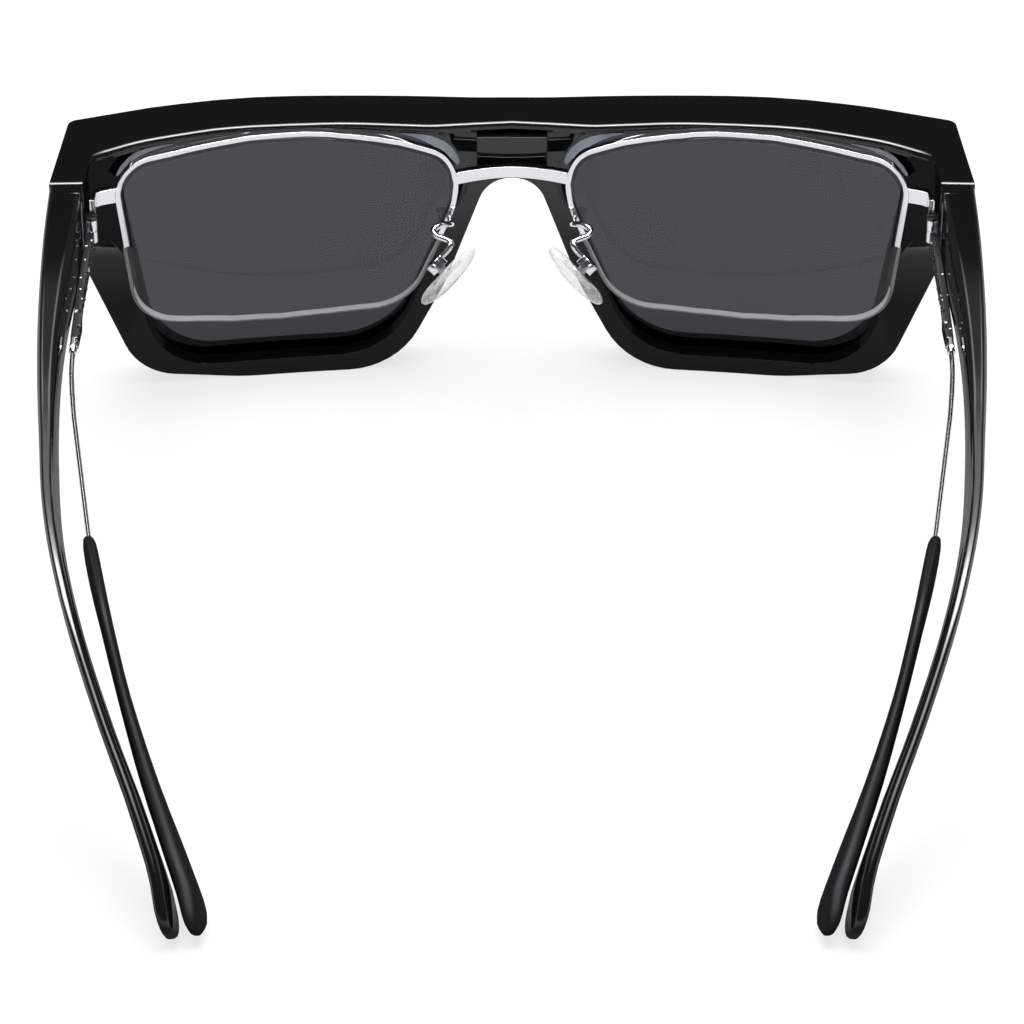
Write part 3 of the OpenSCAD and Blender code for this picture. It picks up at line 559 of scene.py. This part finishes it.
def dress(node, spec):
    bm = mergedCopy(node)
    finishNames = [spec["finish"]]
    if "slim" in spec:
        reshape(bm, spec["slim"])
    if "crown" in spec:
        bevelSharp(bm, *spec["crown"], isCrown)
        bevelSharp(bm, *spec["bevel"], lambda e: not isCrown(e))
    elif "bevel" in spec:
        bevelSharp(bm, *spec["bevel"])
    if "edge" in spec:
        finishNames.append(spec["edge"])
        frostEdge(bm)
    piece = addPiece(node + "Shell", bm, finishNames, nodeBody[node], nodeSlot[node], node)
    smoothByAngle(piece, spec["smooth"])
    print("dressed", node, len(piece.data.polygons), "faces")


for node in frame["nodes"]:
    if kindOf(node) in shells:
        dress(node, shells[kindOf(node)])
print("nodes dressed")


# Soft nose pads: a flattened, bent ball over the moulded plate, in mm and degrees, placed on the
# right. Its powers below 1 make the rim blunt and the oval full
nosePad = {"long": 12.805, "wide": 7.3125, "thick": 2.47, "depth": -2.8, "place": (12, -9.8, 27),
           "turn": 51, "splay": -20, "blunt": 0.55, "full": 0.9, "bend": 0.3, "dish": 0.12,
           "rings": 14, "points": 56, "pole": 0.999, "smooth": 60, "fill": 0.9}


def padMatrix(side):
    turn = Matrix.Rotation(math.radians(nosePad["turn"]), 4, "Y")
    splay = Matrix.Rotation(math.radians(nosePad["splay"]), 4, "X")
    mirror = Matrix.Scale(-1, 4, (1, 0, 0)) if side < 0 else Matrix.Identity(4)
    return mirror @ Matrix.Translation(inRow(nosePad["place"])) @ turn @ splay


# Where a point of the unit ball lies on the pad
def onPad(point):
    across = math.hypot(point.x, point.y)
    size = across ** nosePad["blunt"]
    cos, sin = point.x / across, -point.y / across
    x = nosePad["long"] / 2 * size * cos
    y = nosePad["wide"] / 2 * size * math.copysign(abs(sin) ** nosePad["full"], sin)
    bend = nosePad["bend"] * (cos * cos - sin * sin) * size + nosePad["dish"] * (1 - size)
    return Vector((x, y, nosePad["thick"] / 2 * point.z + bend + nosePad["depth"])) * mm


def makeNosePad(name, side):
    bm = bmesh.new()
    bmesh.ops.create_uvsphere(bm, u_segments=nosePad["points"], v_segments=nosePad["rings"],
                              radius=1)
    poles = [v for v in bm.verts if abs(v.co.z) > nosePad["pole"]]
    bmesh.ops.dissolve_verts(bm, verts=poles)
    for vert in bm.verts:
        vert.co = onPad(vert.co)
    bm.transform(padMatrix(side))
    bmesh.ops.recalc_face_normals(bm, faces=bm.faces)
    node = "nose_pad_" + name
    piece = addPiece(node + "Soft", bm, ["clearPad"], nodeBody[node], nodeSlot[node], node)
    smoothByAngle(piece, nosePad["smooth"])


for name, side in sides.items():
    makeNosePad(name, side)
print("nose pads made")


# The tinted lens's bevelled edge shows as a pale sickle in the upper corners of each opening. The
# sickle is a pale sheet whose colour is a painted reflection of the light on that edge. The table
# gives its outer and inner edge on the left side, in the design's mm
sickles = {
    "corner": {
        "outer": [(-62.77, -4.97, 40.84), (-62.01, -3.76, 41.72), (-61.06, -2.16, 42.17),
                  (-59.93, -1.5, 42.8), (-57.96, -3.25, 44.59), (-55.78, -2.57, 44.72),
                  (-53.9, -2.06, 44.8)],
        "inner": [(-62.68, -3.5, 39.61), (-61.6, -2.6, 40.6), (-60.74, 0.4, 40.15),
                  (-59.24, 1.3, 40.7), (-57.48, 1.2, 41.6), (-55.73, 1, 42.3),
                  (-53.84, -0.86, 43.96)]},
    "nasal": {
        "outer": [(-17.86, 2.96, 43.88), (-15.63, 2.98, 43.74), (-14.13, 7.74, 40.83),
                  (-12.53, 7.79, 40.38), (-10.93, 7.81, 39.56), (-9.65, 7.8, 38.47),
                  (-8.77, 7.75, 37.15), (-8.38, 7.69, 35.79)],
        "inner": [(-17.97, 7.39, 41.16), (-16.06, 7.47, 40.62), (-14.46, 7.67, 39.88),
                  (-12.86, 7.7, 38.94), (-11.58, 7.7, 38.01), (-10.38, 7.69, 37.0),
                  (-9.42, 7.68, 36.06), (-8.78, 7.65, 35.25)]},
}
sickleSmooth = 60


def makeSickle(spot, name, side):
    bm = bmesh.new()
    edges = []
    for line in sickles[spot].values():
        verts = [bm.verts.new(inRow((-side * x, y, z))) for x, y, z in line]
        edges += [bm.edges.new(ends) for ends in zip(verts, verts[1:])]
    bmesh.ops.bridge_loops(bm, edges=edges)
    bmesh.ops.recalc_face_normals(bm, faces=bm.faces)
    lens = "sun_lens_" + name
    # The sickle's pale finish is a painted reflection
    piece = addPiece("lensPaintedReflectionSickle" + spot.title() + name.title(), bm, ["lensEdgePaintedReflection"], nodeBody[lens],
                     nodeSlot[lens])
    smoothByAngle(piece, sickleSmooth)


for name, side in sides.items():
    for spot in sickles:
        makeSickle(spot, name, side)
print("lens sickles made")
